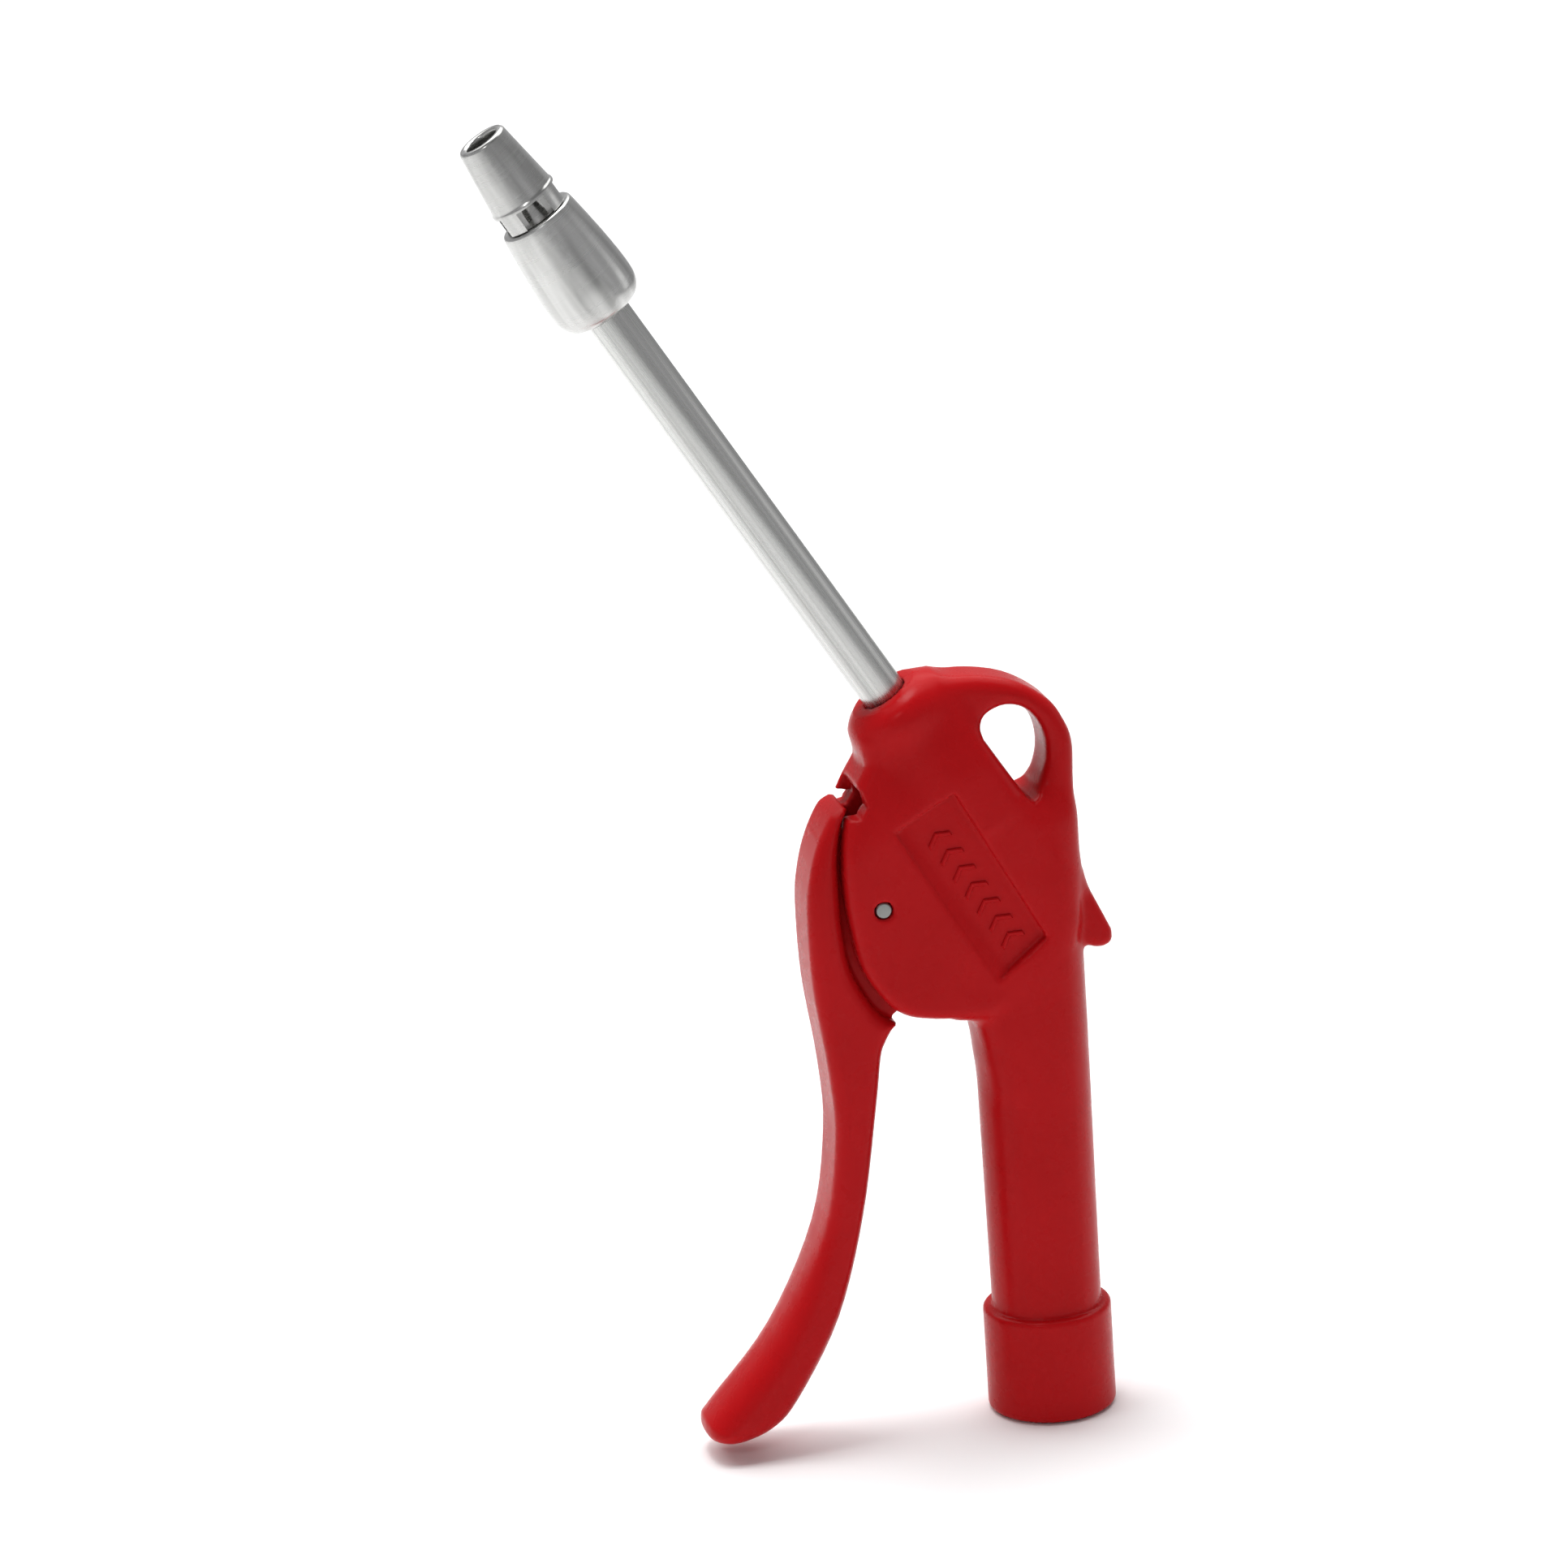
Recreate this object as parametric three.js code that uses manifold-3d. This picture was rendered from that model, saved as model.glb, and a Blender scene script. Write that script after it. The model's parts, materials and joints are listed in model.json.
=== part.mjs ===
// Compressed-air blow gun: a moulded handle with a finger lever, a poppet valve behind the
// lever, and a long nozzle tube that ends in a venturi safety tip.
// Millimetres, +Z up along the handle. The origin is the centre of the air inlet's mouth,
// -X is the side of the lever and the nozzle, and the two cheeks face -Y and +Y.
import * as THREE from 'three';
import { mergeVertices } from 'three/addons/utils/BufferGeometryUtils.js';
import Module from 'manifold-3d';

const wasm = await Module();
wasm.setup();

// ---- Driving dimensions -------------------------------------------------------------
const GAP = 0.15;                                // clearance that touching pieces keep

const HANDLE_R = 10.3;
const COLLAR_R = 11.6;
const COLLAR_TOP = 19.5;
const SHOULDER_Z = 116;                          // rounded top of the handle column
const COLUMN_FLAT_Z = 82;                        // above it the column is as flat as the cheeks
const FEED_BORE_R = 5.5;                         // air way up the handle
const FEED_BORE_TOP = 84;
const RISER_R = 3.5;                             // narrower way on into the valve chamber
const RISER_X = 2;

const CHEEK_HALF = 9;                            // half-thickness of the valve housing
const PLATE_HALF = 5.75;                         // half-thickness of the hanging eye
const SPUR_HALF = 5;
const PANEL_DEPTH = 0.5;

const HEAD_Z = 99;                               // where the valve and nozzle axes cross
const NOZZLE_TILT = THREE.MathUtils.degToRad(31);
const NOSE_R = 8.6;
const NOSE_END = 45.4;                           // distances along the nozzle axis
const SOCKET_START = 29;
const SOCKET_END = 43;
const SOCKET_R = 6;
const TUBE_R = 4;
const TUBE_BORE_R = 2.5;
const TUBE_START = 31.2;
const TUBE_END = 133;
const TIP_BASE = 130;
const BARREL_R = 8.2;
const BARREL_END = 150.9;
const FLATS_HALF = 7.6;                          // half the distance across the spanner flats
const FLATS_END = 141.7;
const WINDOW_R = 6.2;                            // outside of the windowed throat
const WINDOW_END = 155.2;
const WINDOW_WIDTH = 5.2;
const MOUTH_R = 4.5;
const MOUTH_END = 167.3;

const PIN_R = 1.5;
const PIN = [-27.4, 100.2];                      // lever pin, X and Z
const LEVER_HALF = 7;
const WEB_HALF = 2.9;
const SLOT_HALF = 3.2;

const VALVE_FRONT = 23.3;                        // from the cam nose to the nozzle axis
const VALVE_BORE_R = 4.7;
const VALVE_BORE_END = 31.7;                     // distances along the valve axis
const STEM_R = 1.5;
const POPPET_R = 3.8;
const SPRING_R = 3.15;
const SPRING_WIRE_R = 0.35;
const SPRING_START = 20.9;
const SPRING_END = 30.1;
const SPRING_TURNS = 6;

const INLET_BORE_R = 7.9;
const INLET_DEPTH = 18.3;
const THREAD_R = 5.7;                            // quarter-inch pipe thread, minor radius

const FINE = 16;                                 // sides of small, medium and large rounds
const MEDIUM = 24;
const ROUND = 36;

// ---- Finishes -----------------------------------------------------------------------
const finish = (color, roughness, metalness) =>
  new THREE.MeshStandardMaterial({ color, roughness, metalness });
const redNylon = finish(0xb3191d, 0.42, 0);
const nickel = finish(0xc9c9c6, 0.24, 1);
const brass = finish(0xb8954e, 0.3, 1);
const steel = finish(0x9c9c9a, 0.3, 1);
const nitrile = finish(0x1d1d1e, 0.7, 0);

// ---- Solids -------------------------------------------------------------------------
function solidOf(geometry) {
  const bare = geometry.clone();
  bare.deleteAttribute('normal');
  bare.deleteAttribute('uv');
  const merged = mergeVertices(bare, 1e-4);
  const corners = merged.index.array;
  const kept = [];
  for (let i = 0; i < corners.length; i += 3) {
    const [a, b, c] = corners.slice(i, i + 3);
    if (a !== b && b !== c && c !== a) kept.push(a, b, c);
  }
  const vertProperties = Float32Array.from(merged.attributes.position.array);
  const triVerts = Uint32Array.from(kept);
  return new wasm.Manifold(new wasm.Mesh({ numProp: 3, vertProperties, triVerts }));
}

const join = (...solids) => solids.reduce((whole, piece) => whole.add(piece));
const cut = (base, ...tools) => tools.reduce((whole, tool) => whole.subtract(tool), base);

function part(name, solid, material) {
  const { vertProperties, triVerts } = solid.getMesh();
  const geometry = new THREE.BufferGeometry();
  geometry.setAttribute('position', new THREE.BufferAttribute(vertProperties, 3));
  geometry.setIndex(new THREE.BufferAttribute(triVerts, 1));
  geometry.computeVertexNormals();
  const mesh = new THREE.Mesh(geometry, material);
  mesh.name = name;
  return mesh;
}

// A profile is a list of [radius, height], up the outside and back down the inside.
function turned(profile, sides = MEDIUM) {
  const points = profile.map(([r, h]) => new THREE.Vector2(r, h));
  if (profile[0][0] > 0) points.push(points[0].clone());
  return new THREE.LatheGeometry(points, sides).rotateX(Math.PI / 2);
}

const rod = (r, low, high, sides = MEDIUM) =>
  turned([[0, low], [r, low], [r, high], [0, high]], sides);

const ring = (inner, outer, low, high, sides = MEDIUM) =>
  solidOf(turned([[inner, low], [outer, low], [outer, high], [inner, high]], sides));

function oRing(centreR, sectionR, height) {
  const section = [];
  for (let k = 0; k < 6; k += 1) {
    const angle = ((k + 0.5) / 6) * 2 * Math.PI;
    section.push([centreR + sectionR * Math.cos(angle), height + sectionR * Math.sin(angle)]);
  }
  return solidOf(turned(section, FINE));
}

// An outline drawn in X and Z becomes a slab that is centred on Y = 0.
function slab(outline, half, round = 0, curveSegments = 6) {
  const geometry = new THREE.ExtrudeGeometry(outline, {
    depth: 2 * (half - round),
    curveSegments,
    bevelEnabled: round > 0,
    bevelThickness: round,
    bevelSize: round,
    bevelOffset: -round,
    bevelSegments: 2,
  });
  return geometry.translate(0, 0, -(half - round)).rotateX(Math.PI / 2);
}

const corners = (...points) => new THREE.Shape(points.map(([x, z]) => new THREE.Vector2(x, z)));
const vectors = (points) => points.map(([x, z]) => new THREE.Vector2(x, z));

// ---- The two tilted axes ------------------------------------------------------------
const headPlace = new THREE.Matrix4()
  .makeRotationY(-NOZZLE_TILT)
  .setPosition(0, 0, HEAD_Z);
const valvePlace = headPlace.clone().multiply(
  new THREE.Matrix4().makeRotationY(Math.PI / 2).setPosition(-VALVE_FRONT, 0, 0),
);
const onNozzle = (geometry) => solidOf(geometry.applyMatrix4(headPlace));
const onValve = (geometry) => solidOf(geometry.applyMatrix4(valvePlace));

// X and Z of a point given along the nozzle axis and across it.
function across(along, side) {
  const sin = Math.sin(NOZZLE_TILT);
  const cos = Math.cos(NOZZLE_TILT);
  return [-along * sin + side * cos, HEAD_Z + along * cos + side * sin];
}

// ---- Body: one moulding -------------------------------------------------------------
function handleColumn() {
  const column = turned([
    [0, 0], [COLLAR_R - 1, 0], [COLLAR_R, 1], [COLLAR_R, COLLAR_TOP - 0.6],
    [COLLAR_R - 0.5, COLLAR_TOP], [HANDLE_R, COLLAR_TOP], [HANDLE_R, SHOULDER_Z - 15.5],
    [HANDLE_R - 0.6, SHOULDER_Z - 12], [HANDLE_R - 0.6, SHOULDER_Z - 8],
    [HANDLE_R - 1.7, SHOULDER_Z - 4], [HANDLE_R - 4.5, SHOULDER_Z - 1], [0, SHOULDER_Z],
  ], ROUND);
  const flats = new THREE.BoxGeometry(40, 2 * CHEEK_HALF, 2 * COLUMN_FLAT_Z);
  return solidOf(column).intersect(join(solidOf(flats.translate(0, 0, 2 * COLUMN_FLAT_Z)),
    solidOf(rod(COLLAR_R + 1, -1, COLUMN_FLAT_Z + 0.01))));
}

function cheekOutline() {
  const outline = new THREE.Shape();
  outline.moveTo(-28.4, 126);
  outline.splineThru(vectors([
    [-30.6, 120.5], [-32.2, 116], [-33.8, 110.5], [-34.3, 104], [-33.6, 97], [-31.4, 89.2],
    [-27.8, 82.9], [-24.3, 79.9], [-19.9, 78.6], [-14, 77.9],
  ]));
  outline.quadraticCurveTo(-10.8, 76, -10.2, 68);
  outline.lineTo(4.5, 68);
  outline.lineTo(4.5, 108);
  outline.lineTo(...across(15, 8.4));
  outline.lineTo(...across(38, 8.4));
  outline.lineTo(...across(40, -8.6));
  return outline;
}

function plateOutline() {
  const outline = new THREE.Shape();
  outline.moveTo(-14, 139.5);
  outline.lineTo(-26, 128);
  outline.lineTo(-14, 98);
  outline.lineTo(9.7, 98);
  outline.lineTo(9.8, 121);
  outline.splineThru(vectors([[9.6, 125], [8.3, 129], [5.7, 133.2], [0.1, 137.1], [-6.5, 138.9],
    [-14, 139.5]]));
  return outline;
}

function eyeOutline() {
  const outline = new THREE.Shape();
  outline.moveTo(-6.8, 128.2);
  outline.lineTo(0.4, 116.6);
  outline.quadraticCurveTo(1.4, 115, 2.5, 117);
  outline.splineThru(vectors([[4.8, 123], [4.2, 129], [1.4, 132.9], [-2.2, 134.1],
    [-5.5, 133.1], [-7.2, 130.8], [-6.8, 128.2]]));
  return outline;
}

function spurOutline() {
  const outline = new THREE.Shape();
  outline.moveTo(7, 101);
  outline.lineTo(10.4, 99.8);
  outline.lineTo(14.2, 91.6);
  outline.quadraticCurveTo(16.6, 86.6, 13.4, 86.1);
  outline.quadraticCurveTo(11.5, 85.9, 10.2, 86.6);
  outline.lineTo(7, 86);
  return outline;
}

function leverSlot() {
  const outline = corners([-45, 121.5], [-45, 74], [-20, 74], [-18.5, 84], [-18.5, 106],
    [-22, 112], [-28, 121.5]);
  return solidOf(slab(outline, SLOT_HALF));
}

function panelRecess(side) {
  const outline = corners([-24.5, 114.1], [-7.7, 84.3], [1.6, 91.5], [-13.5, 120]);
  const recess = slab(outline, PANEL_DEPTH);
  return solidOf(recess.translate(0, side * CHEEK_HALF, 0));
}

function noseBoss() {
  return onNozzle(turned([
    [0, 18], [8.3, 18], [8.3, 36.5], [8.2, 38.5], [NOSE_R, 40.5], [NOSE_R, 42.6],
    [NOSE_R - 1, NOSE_END - 0.9], [NOSE_R - 2.8, NOSE_END], [0, NOSE_END],
  ]));
}

// The valve bore is drilled from the front edge; the clip's groove lies near its mouth.
function valveBore() {
  return onValve(turned([
    [0, -16], [VALVE_BORE_R, -16], [VALVE_BORE_R, 3.9], [5.1, 3.9], [5.1, 4.9],
    [VALVE_BORE_R, 4.9], [VALVE_BORE_R, VALVE_BORE_END], [0, VALVE_BORE_END],
  ]));
}

function airWays() {
  const outlet = turned([[0, 0], [2.2, 0], [2.2, 27], [0, 27]], FINE);
  outlet.rotateY(THREE.MathUtils.degToRad(-6)).translate(-12.1, 0, 97.5);
  return [
    solidOf(rod(INLET_BORE_R, -1, INLET_DEPTH)),
    solidOf(rod(FEED_BORE_R, 1, FEED_BORE_TOP)),
    solidOf(rod(RISER_R, FEED_BORE_TOP - 2, HEAD_Z, FINE).translate(RISER_X, 0, 0)),
    solidOf(outlet),
    onNozzle(rod(SOCKET_R + 0.3, SOCKET_START, SOCKET_END)),
    onNozzle(rod(TUBE_R + 0.25, SOCKET_END - 1, NOSE_END + 1)),
  ];
}

function body() {
  const shape = join(
    handleColumn(),
    solidOf(slab(cheekOutline(), CHEEK_HALF, 1.6, 4)),
    solidOf(slab(plateOutline(), PLATE_HALF, 1.2)),
    solidOf(slab(spurOutline(), SPUR_HALF, 1)),
    noseBoss(),
  );
  const pinHole = rod(PIN_R + GAP, -CHEEK_HALF - 1, CHEEK_HALF + 1, FINE);
  pinHole.rotateX(Math.PI / 2).translate(PIN[0], 0, PIN[1]);
  return cut(shape, solidOf(slab(eyeOutline(), CHEEK_HALF + 1)), leverSlot(), panelRecess(-1),
    panelRecess(1), valveBore(), solidOf(pinHole), ...airWays());
}

// ---- Lever --------------------------------------------------------------------------
function leverOutline() {
  const outline = new THREE.Shape();
  outline.moveTo(-33.4, 118.4);
  outline.splineThru(vectors([
    [-35.2, 117], [-37.5, 112.6], [-39.6, 106.5], [-40.8, 99.5], [-40.7, 86], [-38.4, 70.2],
    [-38.2, 57], [-41.8, 39.7], [-50.9, 21.5], [-62.9, 7.8], [-64.3, 4.8], [-59.6, 2.9],
    [-53.4, 4.9], [-48, 9.8], [-39.6, 24.2], [-33.9, 42.8], [-30.1, 63], [-29.2, 71.8],
    [-28.2, 75.2], [-25.6, 77.4],
  ]));
  outline.lineTo(-27.8, 79.5);
  outline.splineThru(vectors([[-30, 82], [-33.4, 89.4], [-35, 98.5], [-35.1, 105],
    [-34.6, 110.5], [-32.6, 116.6]]));
  return outline;
}

function leverWeb() {
  const [camX, camZ] = across(0, -VALVE_FRONT - 2.6);
  const hub = rod(4.3, -WEB_HALF, WEB_HALF, FINE).rotateX(Math.PI / 2);
  const cam = rod(2.6, -WEB_HALF, WEB_HALF, FINE).rotateX(Math.PI / 2);
  const tie = corners([-37, 113], [-37, 80], [-27.4, 77.4], [-23.6, 80.2], [-20.6, 83.4],
    [-21.2, 89], [-23.2, 99.2], [-24.6, 103.3], [-31, 113]);
  return join(
    solidOf(hub.translate(PIN[0], 0, PIN[1])),
    solidOf(cam.translate(camX, 0, camZ)),
    solidOf(slab(tie, WEB_HALF)),
  );
}

function lever() {
  const pinHole = rod(PIN_R + GAP, -WEB_HALF - 1, WEB_HALF + 1, FINE).rotateX(Math.PI / 2);
  const grip = solidOf(slab(leverOutline(), LEVER_HALF, 1.2, 1));
  return cut(join(grip, leverWeb()), solidOf(pinHole.translate(PIN[0], 0, PIN[1])));
}

function leverPin() {
  const half = CHEEK_HALF - 0.2;
  const pin = turned([[0, -half], [PIN_R - 0.3, -half], [PIN_R, 0.3 - half],
    [PIN_R, half - 0.3], [PIN_R - 0.3, half], [0, half]], FINE);
  return solidOf(pin.rotateX(Math.PI / 2).translate(PIN[0], 0, PIN[1]));
}

// ---- Air inlet ----------------------------------------------------------------------
function inletInsert() {
  const outer = INLET_BORE_R - GAP;
  return solidOf(turned([
    [THREAD_R + 0.9, 0.2], [outer, 0.2], [outer, 13.6], [6.7, 13.6], [6.7, 15.2],
    [outer, 15.2], [outer, INLET_DEPTH - 0.2], [THREAD_R, INLET_DEPTH - 0.2],
    [THREAD_R, 1.1],
  ]));
}

// ---- Nozzle, along the nozzle axis --------------------------------------------------
function nozzleSocket() {
  return solidOf(turned([
    [TUBE_BORE_R, SOCKET_START + 0.3], [SOCKET_R - 0.5, SOCKET_START + 0.3],
    [SOCKET_R, SOCKET_START + 0.8], [SOCKET_R, 33], [SOCKET_R - 0.7, 33.6],
    [SOCKET_R - 0.7, 35.4], [SOCKET_R, 36], [SOCKET_R, 40.5], [TUBE_R + GAP, 40.5],
    [TUBE_R + GAP, 31], [TUBE_BORE_R, 31],
  ]));
}

const nozzleTube = () => ring(TUBE_BORE_R, TUBE_R, TUBE_START, TUBE_END);

function tipBarrel() {
  const barrel = solidOf(turned([
    [TUBE_R + GAP, TIP_BASE], [5.4, TIP_BASE], [7, 131], [7.95, 132.8], [BARREL_R, 135.2],
    [8.1, 138.5], [7.85, 142], [7.4, 146], [7, 149.6], [6.65, BARREL_END],
    [5.2, BARREL_END], [5.2, 143.2], [TUBE_BORE_R, 143.2], [TUBE_BORE_R, 133.2],
    [TUBE_R + GAP, 133.2],
  ]));
  const flats = [-1, 1].map((side) => {
    const flat = new THREE.BoxGeometry(20, 2, FLATS_END - TIP_BASE + 2);
    return solidOf(flat.translate(0, side * (FLATS_HALF + 1), (FLATS_END + TIP_BASE) / 2 - 1));
  });
  return cut(barrel, ...flats);
}

function tipJet() {
  return solidOf(turned([
    [1, 143.4], [5, 143.4], [5, 145.7], [3.5, 145.7], [3.5, 150], [2.6, 152],
    [1.6, 157], [1, 157],
  ], FINE));
}

function tipShroud() {
  const shell = solidOf(turned([
    [3.8, 146], [5, 146], [5, BARREL_END + 0.1], [WINDOW_R, BARREL_END + 0.1],
    [WINDOW_R, WINDOW_END], [5.95, WINDOW_END + 0.3], [MOUTH_R, MOUTH_END - 0.3],
    [MOUTH_R - 0.3, MOUTH_END], [3.1, MOUTH_END], [3, 166], [4.4, WINDOW_END],
    [4.4, BARREL_END], [3.8, 149.8],
  ]));
  const windows = [0, 1].map((turn) => {
    const window = new THREE.BoxGeometry(16, WINDOW_WIDTH, 3.2);
    window.translate(0, 0, (BARREL_END + WINDOW_END) / 2 + 0.1);
    return solidOf(window.rotateZ((turn * Math.PI) / 2));
  });
  return cut(shell, ...windows);
}

// ---- Valve, along its own axis from the cam nose ------------------------------------
function valveCartridge() {
  const outer = VALVE_BORE_R - GAP;
  const shell = solidOf(turned([
    [STEM_R + GAP, 5.1], [outer, 5.1], [outer, 6], [3.55, 6], [3.55, 7.5], [outer, 7.5],
    [outer, 9.6], [3.9, 9.6], [3.9, 14.4], [outer, 14.4], [outer, 15.3], [3.55, 15.3],
    [3.55, 16.8], [outer, 16.8], [outer, 17.2], [3.2, 17.2], [3, 17.5], [2.5, 17.5],
    [2.5, 9.8], [STEM_R + GAP, 9.8], [STEM_R + GAP, 9.3], [2.75, 9.3], [2.75, 8],
    [STEM_R + GAP, 8],
  ], FINE));
  const port = rod(1.25, -6, 6, 12).rotateX(Math.PI / 2).translate(0, 0, 12);
  const crossPort = port.clone().rotateZ(Math.PI / 2);
  return cut(shell, solidOf(port), solidOf(crossPort));
}

function valveStem() {
  return solidOf(turned([
    [0, 0.3], [2.2, 0.3], [2.5, 0.7], [2.5, 1.8], [STEM_R, 1.8], [STEM_R, 16.7],
    [2.1, 16.7], [2.1, 17.5], [STEM_R, 17.5], [STEM_R, 20.5], [1.05, 20.5], [1.05, 21.3],
    [STEM_R, 21.3], [STEM_R, 22.3], [0, 22.3],
  ], FINE));
}

class Helix extends THREE.Curve {
  getPoint(at) {
    const angle = at * SPRING_TURNS * 2 * Math.PI;
    const low = SPRING_START + SPRING_WIRE_R;
    const high = SPRING_END - SPRING_WIRE_R;
    return new THREE.Vector3(
      SPRING_R * Math.cos(angle),
      SPRING_R * Math.sin(angle),
      low + (high - low) * at,
    );
  }
}

function valveSpring() {
  const wire = new THREE.Shape();
  wire.absarc(0, 0, SPRING_WIRE_R, 0, 2 * Math.PI);
  const coil = new THREE.ExtrudeGeometry(wire, {
    steps: 12 * SPRING_TURNS,
    curveSegments: 3,
    bevelEnabled: false,
    extrudePath: new Helix(),
  });
  return solidOf(coil);
}

function springCup() {
  return solidOf(turned([
    [0, 28.6], [2.3, 28.6], [2.3, 30.4], [4.3, 30.4], [4.3, 31.4], [0, 31.4],
  ], FINE));
}

function cartridgeCirclip() {
  const clip = ring(3.4, 5, 4, 4.7, FINE);
  const mouth = new THREE.BoxGeometry(4, 3.2, 3);
  return cut(clip, solidOf(mouth.translate(-4.6, 0, 4.4)));
}

function stemClip() {
  const clip = ring(1.15, 2.5, 20.6, 21.2, FINE);
  const mouth = new THREE.BoxGeometry(3, 1.7, 2);
  return cut(clip, solidOf(mouth.translate(2, 0, 20.9)));
}

// ---- The gun ------------------------------------------------------------------------
const gun = new THREE.Group();
gun.add(
  part('body', body(), redNylon),
  part('lever', lever(), redNylon),
  part('lever_pin', leverPin(), steel),
  part('inlet_insert', inletInsert(), brass),
  part('insert_oring', oRing(7.25, 0.5, 14.4), nitrile),
);

const head = new THREE.Group();
head.position.z = HEAD_Z;
head.rotation.y = -NOZZLE_TILT;
head.add(
  part('nozzle_socket', nozzleSocket(), brass),
  part('tube_oring', oRing(5.1, 0.8, 41.7), nitrile),
  part('nozzle_tube', nozzleTube(), nickel),
  part('tip_barrel', tipBarrel(), nickel),
  part('tip_jet', tipJet(), nickel),
  part('tip_shroud', tipShroud(), nickel),
);
gun.add(head);

const valve = new THREE.Group();
valve.position.x = -VALVE_FRONT;
valve.rotation.y = Math.PI / 2;
valve.add(
  part('valve_cartridge', valveCartridge(), brass),
  part('cartridge_oring_front', oRing(4.1, 0.5, 6.75), nitrile),
  part('cartridge_oring_rear', oRing(4.1, 0.5, 16.05), nitrile),
  part('cartridge_circlip', cartridgeCirclip(), steel),
  part('valve_stem', valveStem(), steel),
  part('stem_seal', oRing(2.18, 0.45, 8.65), nitrile),
  part('poppet_seal', ring(STEM_R + GAP, POPPET_R, 17.7, 19.2, FINE), nitrile),
  part('poppet_washer', ring(STEM_R + GAP, POPPET_R, 19.4, 20.4, FINE), brass),
  part('stem_clip', stemClip(), steel),
  part('valve_spring', valveSpring(), steel),
  part('spring_cup', springCup(), brass),
);
head.add(valve);

export default gun;
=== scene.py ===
# %% [markdown]
# # A compressed-air blow gun, from frame to finish
#
# The gun is a handle with a finger lever, a valve behind the lever, and a long plated tube
# that ends in a safety tip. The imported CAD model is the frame: it holds the sizes, the joints
# and the bodies, and it never moves. This lesson builds the surfaces that a person sees around
# that frame: two smooth nylon mouldings, turned and plated metal, brass, rubber and spring wire.

# %% The frame
import json
import math

import bpy
import numpy as np
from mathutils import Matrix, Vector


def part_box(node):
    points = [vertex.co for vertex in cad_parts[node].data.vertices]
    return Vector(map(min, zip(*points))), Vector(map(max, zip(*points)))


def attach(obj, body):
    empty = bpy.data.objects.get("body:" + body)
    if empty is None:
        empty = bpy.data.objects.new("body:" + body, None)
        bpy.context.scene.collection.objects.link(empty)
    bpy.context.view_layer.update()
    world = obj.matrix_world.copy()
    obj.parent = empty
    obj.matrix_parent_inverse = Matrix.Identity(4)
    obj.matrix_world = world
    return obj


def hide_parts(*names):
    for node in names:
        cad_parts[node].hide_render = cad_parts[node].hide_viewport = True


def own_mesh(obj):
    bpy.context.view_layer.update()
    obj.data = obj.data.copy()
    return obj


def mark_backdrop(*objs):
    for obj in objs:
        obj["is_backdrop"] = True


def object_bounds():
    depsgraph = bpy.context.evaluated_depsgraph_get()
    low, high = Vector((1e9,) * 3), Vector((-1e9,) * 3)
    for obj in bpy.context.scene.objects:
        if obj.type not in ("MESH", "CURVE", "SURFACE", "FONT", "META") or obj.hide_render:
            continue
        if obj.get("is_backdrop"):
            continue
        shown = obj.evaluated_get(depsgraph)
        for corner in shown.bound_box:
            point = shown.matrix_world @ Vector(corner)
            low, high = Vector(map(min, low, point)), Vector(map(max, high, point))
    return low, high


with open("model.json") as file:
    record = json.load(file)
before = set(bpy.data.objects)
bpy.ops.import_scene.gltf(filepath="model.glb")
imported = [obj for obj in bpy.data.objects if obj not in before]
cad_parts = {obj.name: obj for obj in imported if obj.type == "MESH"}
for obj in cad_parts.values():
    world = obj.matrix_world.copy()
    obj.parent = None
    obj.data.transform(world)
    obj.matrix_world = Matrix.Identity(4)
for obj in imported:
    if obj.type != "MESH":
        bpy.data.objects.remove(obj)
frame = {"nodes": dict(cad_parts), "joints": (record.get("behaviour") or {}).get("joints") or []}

import openvdb as vdb
from mathutils import Matrix, Vector

MM = 0.001
cad_low, cad_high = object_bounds()
print("CAD box, mm:", [round(v / MM, 1) for v in (*cad_low, *cad_high)])

# %% [markdown]
# ## Where things are
#
# Outlines are easier to read in millimetres, so every shape below is drawn in them and turned
# to metres once, when its mesh is made. The sizes that the frame already knows are read from it.
# The valve slides along a tilted line, and the nozzle stands square to that line, so one
# angle, taken from the valve's joint, places everything in the head.

# %% Sizes read from the frame
def size_of(node):
    """The low and high corners of a CAD node's box, in millimetres."""
    low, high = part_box(node)
    return np.array(low) / MM, np.array(high) / MM


joints = {joint["name"]: joint for joint in frame["joints"]}
valve_axis = joints["valve_stem_slide"]["axis"]
TILT = math.atan2(valve_axis[2], valve_axis[0])
SIN, COS = math.sin(TILT), math.cos(TILT)
PIN_X, _, PIN_Z = (v / MM for v in joints["lever_hinge"]["pos_m"])
COLLAR_R = size_of("body")[1][1]
LEVER_HALF = size_of("lever")[1][1]
PIN_HALF = size_of("lever_pin")[1][1]
TUBE_R = size_of("nozzle_tube")[1][1]
HEAD_Z = 99.0
CAM_SIDE = -23.3
PIN_HOLE_R = 1.65
print(f"tilt {math.degrees(TILT):.1f} deg, collar radius {COLLAR_R:.2f}, tube radius {TUBE_R:.2f}")

# %% Going between the upright frame and the tilted head
def across(along, side):
    """X and Z of a point that lies `along` the nozzle axis and `side` across it."""
    return -along * SIN + side * COS, HEAD_Z + along * COS + side * SIN


def in_head(x, z):
    """How far a point lies along the nozzle axis, and how far across it."""
    return -x * SIN + (z - HEAD_Z) * COS, x * COS + (z - HEAD_Z) * SIN


nozzle_place = Matrix.Translation((0, 0, HEAD_Z)) @ Matrix.Rotation(-TILT, 4, "Y")
valve_place = nozzle_place @ Matrix.Translation((CAM_SIDE, 0, 0)) @ Matrix.Rotation(
    math.pi / 2, 4, "Y")
upright = Matrix.Identity(4)
IN_METRES = Matrix.Scale(MM, 4)


def metres(*lengths):
    return tuple(length * MM for length in lengths)


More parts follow.
